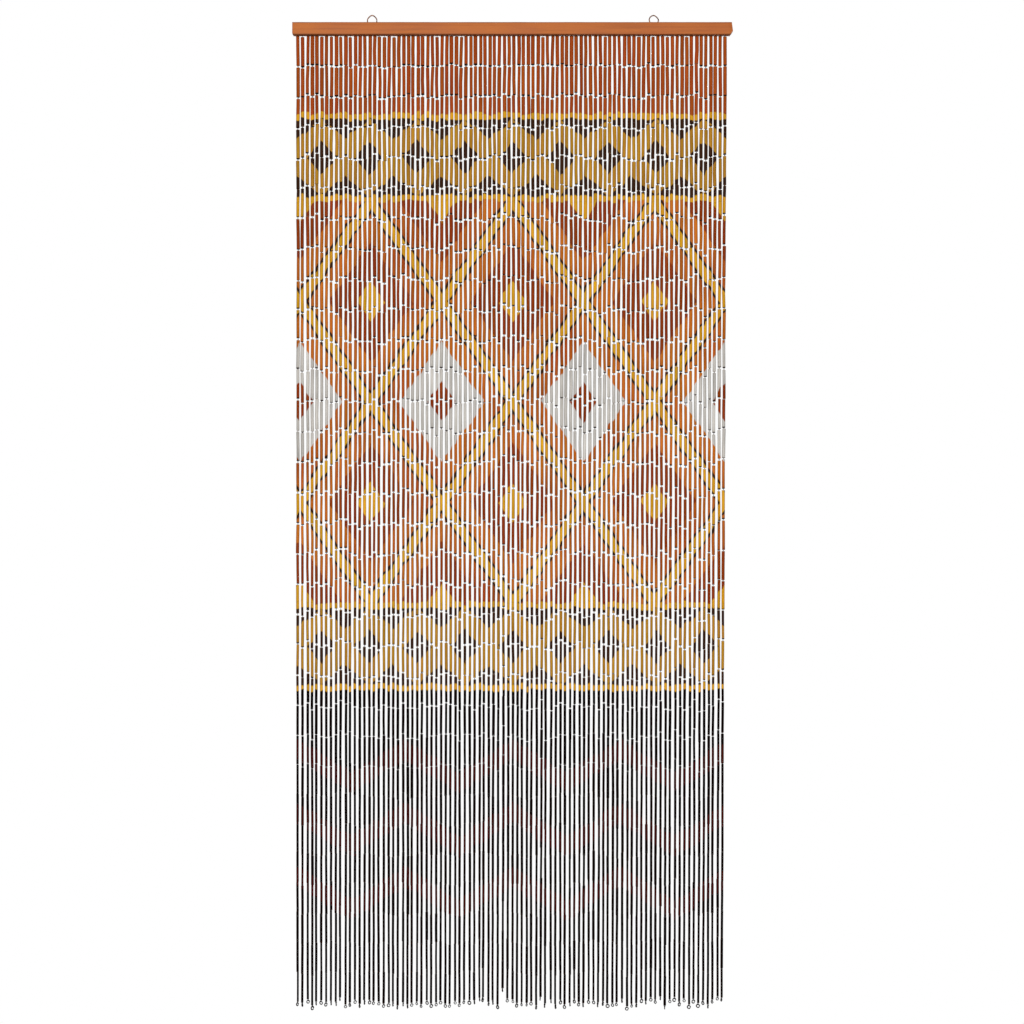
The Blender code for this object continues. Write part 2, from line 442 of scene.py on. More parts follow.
# %% Cut the groove and drill the holes
GROOVE = (0.886, 0.003, 0.005)
LOOP_WIRE = 0.002
LOOP_FEET = {"hanging_loop_left": 0.0093, "hanging_loop_right": 0.00765}
LEG_DEPTH = 0.009
CLEARANCE = 0.0003


def cut_with(target, cutter):
    """Cuts the cutter out of the target and removes the cutter."""
    apply_modifier(target, "BOOLEAN", operation="DIFFERENCE", solver="EXACT", object=cutter)
    bpy.data.objects.remove(cutter)


fresh()
bpy.ops.mesh.primitive_cube_add(size=1.0, location=(0.0, 0.0, rail_low.z))
saw = bpy.context.active_object
saw.scale = (GROOVE[0], GROOVE[1], 2 * GROOVE[2])
cut_with(wooden_rail, saw)

for node, foot in LOOP_FEET.items():
    node_low, node_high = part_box(node)
    loop_x = (node_low.x + node_high.x) / 2
    for side in (-foot, foot):
        fresh()
        bpy.ops.mesh.primitive_cylinder_add(
            vertices=16,
            radius=LOOP_WIRE / 2 + CLEARANCE,
            depth=2 * (LEG_DEPTH + CLEARANCE),
            location=(loop_x + side, 0.0, rail_high.z),
        )
        cut_with(wooden_rail, bpy.context.active_object)

take(wooden_rail)
smooth(35)
hand_in(wooden_rail, [painted_wood], "rail")

# %% [markdown]
# Wire that has hung in a doorway.
# The loops and the carrying wire are plain steel wire, dull and brown with tarnish. Metal takes most
# of its look from what it mirrors, so the material is fully metallic, with a brown colour and a
# roughness that vary in blotches.

# %% Make the tarnished wire
steel_wire, wire_shader, tree = new_finish("steel_wire", 0.42, metallic=1.0)
tarnish = noise(420.0)
spots = noise(1600.0)
metal = lay(linear(142, 92, 60), linear(84, 50, 34), spread(tarnish, 0.42, 0.66))
dark = times(spread(spots, 0.60, 0.72), 0.7)
metal = lay(metal, linear(66, 48, 38), dark)
colour(wire_shader, metal, spread(tarnish, 0.35, 0.7, 0.32, 0.62))
bump(wire_shader, spots, 0.00008, 0.35)

# %% [markdown]
# The line of a bent wire.
# Both loops are bent by hand, so neither is a true arch. The left one is shaped like an egg. The right
# one is round on its left and runs straight down on its right. Each half is a power curve: power 2 is
# a circle, less is straighter. Cutting the corners twice rounds what is left.

# %% Draw the loops' lines
SHOULDER = 0.0058
ARCH_POINTS = 15
FOOT_RISE = 0.0003
ROUNDNESS = {"hanging_loop_left": (1.6, 1.6), "hanging_loop_right": (2.0, 1.4)}


def loop_line(node):
    """Points x, z of a loop's centre line, from its left foot over the top to its right foot."""
    low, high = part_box(node)
    half = (high.x - low.x - LOOP_WIRE) / 2
    rise = high.z - LOOP_WIRE / 2 - rail_high.z - SHOULDER
    foot = LOOP_FEET[node]
    line = [(-foot, low.z - rail_high.z), (-foot, FOOT_RISE)]
    for angle in np.linspace(math.pi, 0.0, ARCH_POINTS):
        power = 2 / ROUNDNESS[node][int(math.cos(angle) > 0)]
        across = math.copysign(abs(math.cos(angle)) ** power, math.cos(angle))
        line.append((half * across, SHOULDER + rise * abs(math.sin(angle)) ** power))
    line += [(foot, FOOT_RISE), (foot, low.z - rail_high.z)]
    points = np.array(line) + ((low.x + high.x) / 2, rail_high.z)
    for _ in range(2):
        near, far = points[:-1], points[1:]
        cut = np.stack([near * 0.75 + far * 0.25, near * 0.25 + far * 0.75], axis=1)
        points = np.vstack([points[:1], cut.reshape(-1, 2), points[-1:]])
    return points


print("points of the left loop:", len(loop_line("hanging_loop_left")))

# %% [markdown]
# Walk the wire.
# A disc at the wire's end takes the walk. Extrude moves it to the next point, and Rotate turns it
# halfway into the next direction, as a mitre does, so that the wire keeps its thickness in the bends.
# Thin bright things look thinner in a picture, so the loops' wire is 0.3 mm thicker than in the CAD. It
# still clears its drilled holes.

# %% Bend the hanging loops
LOOP_GAUGE = 0.0023


def bend_wire(name, points, radius, sides):
    """A round wire along these x, z points, left in object mode and named."""
    steps = np.diff(points, axis=0)
    heading = np.arctan2(steps[:, 0], steps[:, 1])
    mitre = np.append((heading[1:] + heading[:-1]) / 2, heading[-1])
    fresh()
    start = (points[0][0], 0.0, points[0][1])
    bpy.ops.mesh.primitive_circle_add(
        vertices=sides, radius=radius, fill_type="NGON", location=start, enter_editmode=True
    )
    facing = 0.0
    for step, point, wanted in zip(steps, points[1:], mitre):
        move = {"value": (step[0], 0.0, step[1])}
        bpy.ops.mesh.extrude_region_move(TRANSFORM_OT_translate=move)
        pin = (point[0], 0.0, point[1])
        bpy.ops.transform.rotate(value=facing - wanted, orient_axis="Y", center_override=pin)
        facing = wanted
    return leave_edit(name)


for name, node in (("left_loop", "hanging_loop_left"), ("right_loop", "hanging_loop_right")):
    loop = bend_wire(name, loop_line(node), LOOP_GAUGE / 2, 14)
    smooth(40)
    hand_in(loop, [steel_wire], node)

# %% [markdown]
# Where each strand hangs.
# In the CAD a strand is one square rod from the rail to its end ring, and the tubes have to follow it.
# A merged copy of the node is cut off just below the rail and separated into its loose parts, which
# gives one small mesh for each strand. Its corners lie in twelve level rings, and the middle of each
# is a point of the strand's path. The rods stray more from an even row than real strands do, so a
# third of their stray is taken back. For the same reason the first tubes start nearer the rail than
# the slackest rods, and the last tubes reach half a millimetre lower.

# %% Separate the strands
TUBES = 32
ROD_TOP = rail_low.z + 0.001
copy = bpy.data.objects.new("strand_paths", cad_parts["strands"].data.copy())
bpy.context.scene.collection.objects.link(copy)
take(copy)
bpy.ops.object.mode_set(mode="EDIT")
bpy.ops.mesh.select_all(action="SELECT")
bpy.ops.mesh.remove_doubles(threshold=MERGE_DISTANCE)
pick("verts", lambda vert: vert.co.z > ROD_TOP)
bpy.ops.mesh.delete(type="VERT")
bpy.ops.mesh.select_all(action="SELECT")
bpy.ops.mesh.separate(type="LOOSE")
bpy.ops.object.mode_set(mode="OBJECT")
parts = list(bpy.context.selected_objects)
print("strands found:", len(parts))

# %% Read their paths
def level_rings(part):
    """Rows of x, y, z, half width and half depth, one for each ring, from the top down."""
    points = np.array([vert.co for vert in part.data.vertices])
    heights = np.unique(points[:, 2].round(6))[::-1]
    rows = []
    for height in heights:
        ring = points[np.abs(points[:, 2] - height) < 2 * MERGE_DISTANCE]
        low, high = ring.min(axis=0), ring.max(axis=0)
        middle = (low + high) / 2
        half = (high - low) / 2
        rows.append((middle[0], middle[1], height, half[0], half[1]))
    return rows


paths = np.array(sorted(level_rings(part) for part in parts))
paths = paths[np.argsort(paths[:, 0, 0])]
for part in parts:
    bpy.data.objects.remove(part)
strand_count = len(paths)

# %% Even out the paths and find the tubes' ends
STRAY_KEPT = 0.68
LAST_TUBE_LOWER = 0.0005
# How far below the rail the first tube starts, for the tightest and for the slackest strand
FIRST_DROPS = (0.0013, 0.0046)
for level in range(paths.shape[1]):
    slope, start = np.polyfit(range(strand_count), paths[:, level, 0], 1)
    even = start + slope * np.arange(strand_count)
    paths[:, level, 0] = even + STRAY_KEPT * (paths[:, level, 0] - even)
tube_ends = paths[:, [1, 8], 2] - (0.0, LAST_TUBE_LOWER)
slack = rail_low.z - tube_ends[:, 0]
tube_ends[:, 0] = rail_low.z - np.interp(slack, (slack.min(), slack.max()), FIRST_DROPS)
print("paths", paths.shape, "first tube", tube_ends[:, 0].max(), "last tube", tube_ends[:, 1].min())

# %% [markdown]
# Lengths and gaps.
# The tubes are sawn by hand, so the joints start in level rows under the rail and drift apart on the
# way down. Each strand gets 32 lengths with a small spread, scaled to fill its own path. The gaps are
# 1 to 4 mm wide, with one in eight almost shut, and they close up in the lowest third.

# %% Share out each strand
SEED = 32
LENGTH_SPREAD = 0.029
LOOSE_GAP, LOOSE_GAP_SPREAD = 0.0013, 0.0030
SHUT_SHARE, SHUT_GAP = 0.12, 0.0006
TIGHT_GAP, TIGHT_GAP_SPREAD = 0.0002, 0.0004
# The gaps close up between these two rows of joints
CLOSING_ROWS = (20, 25)
rng = np.random.default_rng(SEED)
joint_shape = (strand_count, TUBES - 1)
lengths = rng.normal(1.0, LENGTH_SPREAD, (strand_count, TUBES)).clip(0.92, 1.08)
tightness = np.interp(np.arange(1, TUBES), CLOSING_ROWS, (0.0, 1.0))
loose_gap = LOOSE_GAP + LOOSE_GAP_SPREAD * rng.random(joint_shape) ** 0.9
loose_gap[rng.random(joint_shape) < SHUT_SHARE] = SHUT_GAP
tight_gap = TIGHT_GAP + TIGHT_GAP_SPREAD * rng.random(joint_shape)
gaps = loose_gap * (1 - tightness) + tight_gap * tightness

free = (tube_ends[:, 0] - tube_ends[:, 1] - gaps.sum(axis=1))[:, None]
lengths *= free / lengths.sum(axis=1)[:, None]
steps = np.zeros((strand_count, 2 * TUBES))
steps[:, 1::2] = lengths
steps[:, 2::2] = gaps
heights = tube_ends[:, :1] - steps.cumsum(axis=1)
tops, bottoms = heights[:, 0::2], heights[:, 1::2]
print("tube length", lengths.min().round(4), "to", lengths.max().round(4))

# %% [markdown]
# Thickness, and room between neighbours.
# The tubes are natural canes of 4 to 8 mm, the thicker ones at the top. Each hangs a little askew,
# because a wire eye sits anywhere in its bore, but the slim ones low down stay in line. The sideways
# play is limited to the room that the neighbouring strand leaves, so that no tube runs into the next.
# The tops of the first tubes stay in line with the carrying wire.

# %% Thickness and sideways play
THICKNESS_SPREAD = 0.062
LEAST_ROOM = 0.0003
LEAN_MARGIN = 1.1
# How far a tube's end can sit off its strand, a row for each: drop below the rail, distance
WIGGLE = ((0.15, 0.0011), (0.40, 0.0008), (0.60, 0.0006), (1.30, 0.0005), (1.50, 0.0003))
# How much thicker than their rod the tubes are, a row for each: drop below the rail, factor
THICKER = ((0.0, 1.10), (0.8, 1.15), (1.3, 1.19), (1.75, 1.20), (2.0, 1.12))


def along_path(strand, column, heights):
    """A strand's x, y or half thickness at these heights."""
    rows = paths[strand, 1:9]
    return np.interp(heights, rows[::-1, 2], rows[::-1, column])


def along_all(column, heights):
    """The same for all strands."""
    return np.array([along_path(s, column, heights[s]) for s in range(strand_count)])


middles = (tops + bottoms) / 2
nominal = 2 * along_all(3, middles)
drops = rail_low.z - middles
nominal *= np.interp(drops, *zip(*THICKER))
thick = nominal * rng.normal(1.0, THICKNESS_SPREAD, nominal.shape).clip(0.86, 1.13)


def ends_of_tubes(heights):
    """x and y of every strand's path at these heights, and the room to its nearer neighbour."""
    x, y = along_all(0, heights), along_all(1, heights)
    room = np.full(heights.shape, np.inf)
    for s in range(strand_count):
        for other in (s - 1, s + 1):
            if 0 <= other < strand_count:
                near_x = along_path(other, 0, heights[s])
                near_y = along_path(other, 1, heights[s])
                apart = np.hypot(x[s] - near_x, y[s] - near_y)
                room[s] = np.minimum(room[s], apart)
    return x, y, room


top_x, top_y, top_room = ends_of_tubes(tops)
end_x, end_y, end_room = ends_of_tubes(bottoms)
room = np.minimum(top_room, end_room)
thick = np.minimum(thick, room - LEAST_ROOM)
play = ((room - thick * LEAN_MARGIN) / 2).clip(0.0, np.interp(drops, *zip(*WIGGLE)))
for x, y in ((top_x, top_y), (end_x, end_y)):
    x += rng.uniform(-1.0, 1.0, x.shape) * play
    y += rng.uniform(-1.0, 1.0, y.shape) * play
top_y[:, 0] = 0.0
print("thickness", thick.min().round(4), "to", thick.max().round(4))

# %% [markdown]
# One bamboo tube.
# It starts as an eight-sided cylinder, 62 mm long and 6 mm thick. The ends are inset and bridged
# through, which makes the bore. A small bevel eases the sawn rims, and a ring of corners round the
# middle lets a tube bow. That is 56 faces, few enough for 2,880 copies.

# %% Model the tube
TUBE_LENGTH = 0.062
TUBE_THICKNESS = 0.006
TUBE_SIDES = 8
BORE_SHARE = 0.50
RIM_BEVEL = 0.0003


def looks_along(face):
    """Whether a face looks up or down."""
    return abs(face.normal.z) > 0.9


fresh()
bpy.ops.mesh.primitive_cylinder_add(
    vertices=TUBE_SIDES, radius=TUBE_THICKNESS / 2, depth=TUBE_LENGTH, enter_editmode=True
)
pick("edges", lambda edge: edge.calc_length() > TUBE_LENGTH / 2)
bpy.ops.mesh.subdivide(number_cuts=1)
pick("faces", looks_along)
bpy.ops.mesh.bevel(offset=RIM_BEVEL, segments=1, affect="EDGES")
pick("faces", looks_along)
bpy.ops.mesh.inset(thickness=TUBE_THICKNESS * (1 - BORE_SHARE) / 2 - RIM_BEVEL)
pick("faces", lambda face: looks_along(face) and len(face.verts) == TUBE_SIDES)
bpy.ops.mesh.bridge_edge_loops()
unit_tube = leave_edit("unit_tube")
report(unit_tube)

# %% [markdown]
# Painted skin and sawn ends.
# The paint covers the outside only. The sawn rims and the bore show bare, dusty cane, so they get a
# material slot of their own.

# %% Mark the sawn faces
for face in unit_tube.data.polygons:
    middle = face.center
    in_bore = math.hypot(middle.x, middle.y) < TUBE_THICKNESS * BORE_SHARE * 0.55
    face.material_index = int(in_bore or looks_along(face))
sawn = sum(face.material_index for face in unit_tube.data.polygons)
print("faces of the tube:", len(unit_tube.data.polygons), "of them sawn:", sawn)

# %% [markdown]
# A helper that copies one shape many times.
# Every tube as its own object would be thousands of them. A joined mesh holds many instead: for each
# copy it repeats the unit's corners and faces, and the corners go where that copy hangs. Anything that
# varies from tube to tube, such as its tone, is stored as an attribute.

# %% Copy a unit into a joined mesh
def joined(name, unit, places, notes=None, smooth_angle=50):
    """One object with a copy of the unit for each place. Places holds the corners of every copy."""
    loops, faces = unit.data.loops, unit.data.polygons
    copies, corner_count = places.shape[:2]
    corners = np.array([loop.vertex_index for loop in loops], np.int32)
    starts = np.array([face.loop_start for face in faces], np.int32)
    slots = np.array([face.material_index for face in faces], np.int32)
    which = np.arange(copies)[:, None]

    mesh = bpy.data.meshes.new(name)
    mesh.vertices.add(copies * corner_count)
    mesh.vertices.foreach_set("co", places.astype(np.float32).ravel())
    mesh.loops.add(copies * len(loops))
    mesh.loops.foreach_set("vertex_index", (corners + which * corner_count).ravel())
    mesh.polygons.add(copies * len(faces))
    mesh.polygons.foreach_set("loop_start", (starts + which * len(loops)).ravel())
    mesh.polygons.foreach_set("material_index", np.tile(slots, copies))
    mesh.update(calc_edges=True)
    for note, values in (notes or {}).items():
        attribute = mesh.attributes.new(note, "FLOAT", "POINT")
        attribute.data.foreach_set("value", values.astype(np.float32).ravel())

    piece = bpy.data.objects.new(name, mesh)
    bpy.context.scene.collection.objects.link(piece)
    take(piece)
    smooth(smooth_angle)
    return piece


def wire_piece(name, unit, places, finish, smooth_angle=100):
    """Makes one object with a copy of a piece of wire for each place, and finishes it."""
    piece = joined(name, unit, places, smooth_angle=smooth_angle)
    hand_in(piece, [finish], "strands")


def groups(size):
    """The strands in groups of this size, each group with its number."""
    for first in range(0, strand_count, size):
        yield first // size + 1, list(range(first, min(first + size, strand_count)))


def corners_of(unit):
    """The corners of a unit piece as rows of x, y, z."""
    return np.array([vert.co for vert in unit.data.vertices])


# %% [markdown]
# Colours for a generic pattern.
# The curtain is painted by hand, so the pattern's edges step from one tube to the next. It is a plain
# trellis of diamonds between two toothed borders, over a dark ground with chevrons, worked out from
# the height and the place along the rail alone.

# %% Paint colours
RUST = linear(162, 72, 24)
ORANGE = linear(194, 108, 34)
DEEP_RUST = linear(142, 58, 18)
PALE = linear(198, 193, 186)
GOLD = linear(212, 154, 34)
OCHRE = linear(164, 116, 40)
BROWN = linear(58, 34, 20)
BLACK = linear(11, 3, 2)
MAROON = linear(62, 14, 10)
print("rust in linear values:", [round(channel, 3) for channel in RUST])

# %% [markdown]
# The painter's hand.
# Before any line is drawn, the place where the pattern is read is nudged a little: by noise and by
# each tube's own slip. All edges of the pattern then waver, as they do when a brush crosses a row of
# loose tubes.

# %% Start the painted bamboo
painted_bamboo, skin, tree = new_finish("painted_bamboo", 0.6, specular=0.04)
skin.inputs["IOR"].default_value = 1.35
axes = own_axes()


def noted(name):
    """The value that a tube carries under this name."""
    node = tree.nodes.new("ShaderNodeAttribute")
    node.attribute_name = name
    return node.outputs["Fac"]


tone = noted("tube_tone")
slip = noted("tube_slip")
from_end = noted("from_end")
from_foot = noted("from_foot")
dark_end = noted("tube_dark_end")
hue = noted("tube_hue")
waver = number("SUBTRACT", noise(55.0, detail=2.0), 0.5)
true_drop = number("SUBTRACT", rail_low.z, axes["Z"])
drop = scaled(waver, 0.016, true_drop)
drop = scaled(slip, 0.003, drop)
across = scaled(waver, 0.006, axes["X"])

# %% [markdown]
# Distances make the pattern.
# A band is where the distance from its middle is under half its width. A triangle wave, which the
# Ping-Pong operation gives, repeats a diamond or a tooth along the rail. Folding the height about the
# middle of the trellis mirrors the upper border to the lower one.

# %% Pattern helpers
EDGE_SOFTNESS = 0.0016


def within(value, limit, soft=EDGE_SOFTNESS):
    """A mask: 1 where the value is under the limit, 0 above it, with a soft edge."""
    return number("MULTIPLY_ADD", value, -1 / soft, limit / soft + 0.5, clamp=True)


def wave(value, half):
    """Triangle wave from 0 to half and back, 0 at zero."""
    return number("PINGPONG", value, half)


# %% [markdown]
# The trellis of diamonds.
# Two slanted coordinates run along the sides of the diamonds. The larger of their two waves is 0 in
# the middle of a diamond and 1 on its outline, so one number draws the gold trellis lines, the filled
# diamond inside each and the small one in its heart. The middle row is pale grey, the others rust.

# %% Paint the trellis
HALF_WIDE, HALF_HIGH = 0.145, 0.205
FIELD_MIDDLE = 0.75
slant_x = number("DIVIDE", across, HALF_WIDE)
field_drop = number("SUBTRACT", drop, FIELD_MIDDLE)
slant_z = number("DIVIDE", field_drop, HALF_HIGH)
rising = wave(number("ADD", number("ADD", slant_x, slant_z), 1.0), 1.0)
falling = wave(number("ADD", number("SUBTRACT", slant_x, slant_z), 1.0), 1.0)
ring = number("MAXIMUM", rising, falling)

fold = number("ABSOLUTE", field_drop)
nearest = number("DIVIDE", wave(across, HALF_WIDE), -HALF_WIDE)
in_row = number("ADD", number("ADD", nearest, 1.0), number("DIVIDE", fold, HALF_HIGH))
middle_row = within(in_row, 1.0)
soft = EDGE_SOFTNESS * 8
turned = times(ring, -1.0)
blend = noise(7.0, detail=2.0)
paint = lay(ORANGE, RUST, spread(blend, 0.42, 0.72))
inner = lay(DEEP_RUST, PALE, middle_row)
paint = lay(paint, inner, within(ring, 0.60, soft))
heart = lay(GOLD, DEEP_RUST, middle_row)
paint = lay(paint, heart, within(ring, 0.20, soft))
paint = lay(paint, BROWN, within(turned, -0.885, soft))
paint = lay(paint, GOLD, within(turned, -0.925, soft))

# %% [markdown]
# The toothed borders.
# Both borders come from the folded height, so they are painted once. Each has a gold line at either
# side, a row of brown teeth that point inwards, and small brown diamonds on the ochre between them.

# %% Paint the borders
BORDER_MIDDLE = 0.50
BORDER_HALF = 0.09
REPEAT = 0.0978
DIAMOND_HALF = 0.034
TOOTH = 0.040
border = off(fold, BORDER_MIDDLE)
between = wave(across, REPEAT / 2)
band = lay(OCHRE, GOLD, times(blend, 0.6))
diamond = scaled(between, DIAMOND_HALF / 0.030, border)
band = lay(band, BROWN, within(diamond, DIAMOND_HALF))
tooth = scaled(between, -TOOTH / (REPEAT / 2), times(border, -1.0))
band = lay(band, BROWN, within(tooth, -0.078))
band = lay(band, GOLD, within(off(border, 0.084), 0.006))
paint = lay(paint, band, within(border, BORDER_HALF))

# %% [markdown]
# Plain top and dark foot.
# Above the borders the strands are plain rust. Below them the ground is black, with three rows of dark
# maroon chevrons. A chevron is a band whose middle rises and falls with the triangle wave.

# %% Paint the top and the foot
CHEVRONS = (1.46, 1.59, 1.72)
CHEVRON_HALF = 0.020
CHEVRON_REPEAT = 0.22
CHEVRON_SLOPE = -0.62
paint = lay(paint, RUST, within(drop, FIELD_MIDDLE - BORDER_MIDDLE - BORDER_HALF))
rise = scaled(wave(across, CHEVRON_REPEAT / 2), CHEVRON_SLOPE, drop)
foot = BLACK
for middle in CHEVRONS:
    foot = lay(foot, MAROON, within(off(rise, middle), CHEVRON_HALF))
below = FIELD_MIDDLE + BORDER_MIDDLE + BORDER_HALF
paint = lay(foot, paint, within(drop, below))
print("pattern nodes:", len(tree.nodes))

# %% [markdown]
# Cane under the paint.
# The coat is thin. Fibres show as fine streaks, every tube took the paint a little differently, and at
# the rims it is chipped down to the tan cane, but not in the foot, which has two coats. The lower end
# of many tubes is painted dark. Just under the rail the first tubes get painted shade: they darken
# towards the rail, and the tops of the lower-hung ones are painted dark.

# %% Finish the painted bamboo
fibres = noise(900.0, (1.0, 1.0, 0.02), detail=4.0)
cloudy = noise(90.0, (1.0, 1.0, 0.25))
shade = scaled(tone, 0.13, 1.0)
shade = times(shade, spread(fibres, 0.30, 0.70, 0.80, 1.16))
shade = times(shade, spread(cloudy, 0.30, 0.70, 0.90, 1.10))
# Painted shade: the tubes darken within about 5 mm below the rail, where the rail shades them.
shade = times(shade, spread(true_drop, 0.0015, 0.0055, 0.40, 1.0))
tinted = tree.nodes.new("ShaderNodeHueSaturation")
plug(tinted.inputs["Color"], paint)
plug(tinted.inputs["Value"], shade)
plug(tinted.inputs["Hue"], scaled(hue, 0.004, 0.5))
paint = tinted.outputs["Color"]

chips = scaled(fibres, -0.0030, from_end)
one_coat = within(drop, below)
chipped = times(within(chips, -0.0008, 0.0006), 0.50)
chipped = times(chipped, one_coat)
paint = lay(paint, linear(150, 110, 70), chipped)
# Many tubes are painted dark over the last few millimetres of their lower end.
dark_lower_end = scaled(fibres, 0.0012, number("SUBTRACT", from_foot, dark_end))
paint = lay(paint, linear(40, 22, 14), within(dark_lower_end, 0.0, 0.0009))
# Painted shade: the top ends of the first tubes, just under the rail, are painted dark.
rub_wear_and_rail_shade = times(within(true_drop, 0.0070, 0.0090), 0.8)
rub_wear_and_rail_shade = times(rub_wear_and_rail_shade, within(from_end, 0.0008, 0.0022))
paint = lay(paint, linear(46, 22, 14), rub_wear_and_rail_shade)
colour(skin, paint, spread(fibres, 0.3, 0.7, 0.74, 0.52))
bump(skin, fibres, 0.00025, 0.40)
print("painted bamboo nodes:", len(tree.nodes))

# %% [markdown]
# Bare cane for the sawn ends.
# A sawn rim is rough and dusty, and no brush reaches the bore. One dull brown with fine pores does for
# both.

# %% Make the bare cane
bare_cane, cane_shader, tree = new_finish("bare_cane", 0.85, specular=0.2)
pore = noise(2600.0)
cane = lay(linear(66, 38, 24), linear(30, 17, 11), spread(pore, 0.40, 0.62))
plug(cane_shader.inputs["Base Color"], cane)
bump(cane_shader, pore, 0.00010, 0.5)

# %% [markdown]
# Hang the tubes.
# Each copy of the unit tube is scaled to its own thickness, lengthened at its ends only, so that the
# rims keep their bevel, turned about its own axis, and leaned from its upper to its lower end. Some
# tubes also bow, which moves their middle ring.

# %% Place every tube
unit = corners_of(unit_tube)
flat = np.where(np.abs(unit[:, 2]) < 1e-4, 0.0, np.sign(unit[:, 2]))
shape = (strand_count, TUBES)
BOWED_SHARE, BOW, SLIGHT_BOW = 0.15, 0.0007, 0.00018
turn = rng.uniform(0.0, 2 * math.pi, shape)
oval = rng.uniform(0.94, 1.06, shape)
bowed = np.where(rng.random(shape) < BOWED_SHARE, BOW, SLIGHT_BOW)
bowed *= np.interp(drops, (0.8, 1.5), (1.0, 0.4))
bow_way = rng.uniform(0.0, 2 * math.pi, shape)
girth = thick / TUBE_THICKNESS


def corners_for(strand):
    """The corners of all tubes of one strand, and how far each is above its tube's middle."""
    def each(values):
        return values[strand][:, None]

    long = each(tops - bottoms)
    level = unit[:, 2] + flat * (long - TUBE_LENGTH) / 2
    x = unit[:, 0] * each(girth * oval)
    y = unit[:, 1] * each(girth / oval)
    cos, sin = each(np.cos(turn)), each(np.sin(turn))
    x, y = x * cos - y * sin, x * sin + y * cos
    share = 0.5 - level / long
    bend = each(bowed) * (1 - flat**2)
    x = x + each(top_x) * (1 - share) + each(end_x) * share + bend * each(np.cos(bow_way))
    y = y + each(top_y) * (1 - share) + each(end_y) * share + bend * each(np.sin(bow_way))
    return np.stack([x, y, each(middles) + level], axis=-1), level


# %% [markdown]
# Eighteen groups of strands.
# One mesh of all tubes would be too large for some programs to open. Five strands to a piece keep each
# piece small.

# %% Build the tube pieces
STRANDS_PER_PIECE = 5
DARK_END_SHARE = 0.62
tube_notes = {
    "tube_tone": rng.normal(0.0, 0.55, shape).clip(-1.2, 1.2),
    "tube_slip": rng.uniform(-1.0, 1.0, shape),
    "tube_hue": rng.uniform(-1.0, 1.0, shape),
    "tube_dark_end": np.where(rng.random(shape) < DARK_END_SHARE, rng.uniform(0.0016, 0.0034, shape), -0.001),
}
for index, group in groups(STRANDS_PER_PIECE):
    made = [corners_for(strand) for strand in group]
    places = np.concatenate([corners for corners, _ in made])
    level = np.concatenate([above for _, above in made])
    half_length = (tops - bottoms)[group].reshape(-1, 1) / 2
    notes = {"from_end": half_length - np.abs(level), "from_foot": half_length + level}
    for note, values in tube_notes.items():
        notes[note] = np.repeat(values[group].ravel(), len(unit))
    piece = joined(f"tubes_{index:02d}", unit_tube, places, notes)
    hand_in(piece, [painted_bamboo, bare_cane], "strands")

# %% [markdown]
# Annealed wire for the eyes, the pins and the top links.
# Wire that is wound into small eyes is annealed first, which leaves a dark scale on it. So the joints
# show as dark dots. It is the same steel with a darker, rougher and more even skin.

# %% Make the annealed wire
annealed_wire, scale_shader, tree = new_finish("annealed_wire", 0.5, metallic=1.0)
scale = noise(700.0)
skin_of_scale = lay(linear(62, 52, 46), linear(24, 20, 18), spread(scale, 0.36, 0.62))
colour(scale_shader, skin_of_scale, spread(scale, 0.35, 0.7, 0.42, 0.68))
bump(scale_shader, scale, 0.00006, 0.3)

# %% [markdown]
# The wire eyes between the tubes.
# A wire runs through each tube and ends in a small eye at both ends. The lower eye of one tube hooks
# into the upper eye of the next, a quarter turn round. One eye is a ring of 32 faces, pulled to a
# drop towards its tube. It sits half in the bore.

# %% Model the eye
EYE_OUTER = 0.0028
EYE_WIRE = 0.0006
EYE_FIT = 0.97
start_ring(EYE_OUTER, EYE_WIRE, 8, 4)
pick("verts", lambda vert: vert.co.z > EYE_OUTER * 0.30)
bpy.ops.transform.resize(value=(0.8, 1.0, 1.0))
bpy.ops.transform.translate(value=(0.0, 0.0, 0.0004))
unit_eye = leave_edit("unit_eye")
report(unit_eye)

# %% [markdown]
# Hook the eyes together.
# Two linked rings that pull apart touch where one wire lies inside the other ring. So their middles
# are a ring's height apart, less two wires.

# %% Place the eyes
def turned_copies(unit, x, y, z, angle, size, flip=1.0):
    """Corners of copies that are scaled, turned about Z and moved. Flip -1 stands a copy on its head."""
    base = corners_of(unit) * (1.0, flip, flip)
    wide, deep, high = (base[:, axis] * size[:, None] for axis in range(3))
    cos, sin = np.cos(angle)[:, None], np.sin(angle)[:, None]
    x = x[:, None] + wide * cos - deep * sin
    y = y[:, None] + wide * sin + deep * cos
    return np.stack([x, y, z[:, None] + high], axis=-1)


EYES_FROM = 0.0009
joint_x = (end_x[:, :-1] + top_x[:, 1:]) / 2
joint_y = (end_y[:, :-1] + top_y[:, 1:]) / 2
joint_z = (bottoms[:, :-1] + tops[:, 1:]) / 2
joint_size = np.minimum(thick[:, :-1], thick[:, 1:]) * BORE_SHARE * EYE_FIT / EYE_OUTER
joint_turn = rng.uniform(0.0, math.pi, joint_x.shape)
quarter = math.pi / 2 + rng.uniform(-0.26, 0.26, joint_x.shape)
reach = (EYE_OUTER - 2 * EYE_WIRE) / 2 * joint_size
with_eyes = gaps > EYES_FROM


def eyes_of(strands):
    """Corners of the upper and the lower eyes in all wide joints of these strands."""
    wide = with_eyes[strands]
    x, y, z = (values[strands][wide] for values in (joint_x, joint_y, joint_z))
    size, angle = joint_size[strands][wide], joint_turn[strands][wide]
    half = reach[strands][wide]
    upper = turned_copies(unit_eye, x, y, z + half, angle, size)
    lower = turned_copies(unit_eye, x, y, z - half, angle + quarter[strands][wide], size, -1.0)
    return np.concatenate([upper, lower])


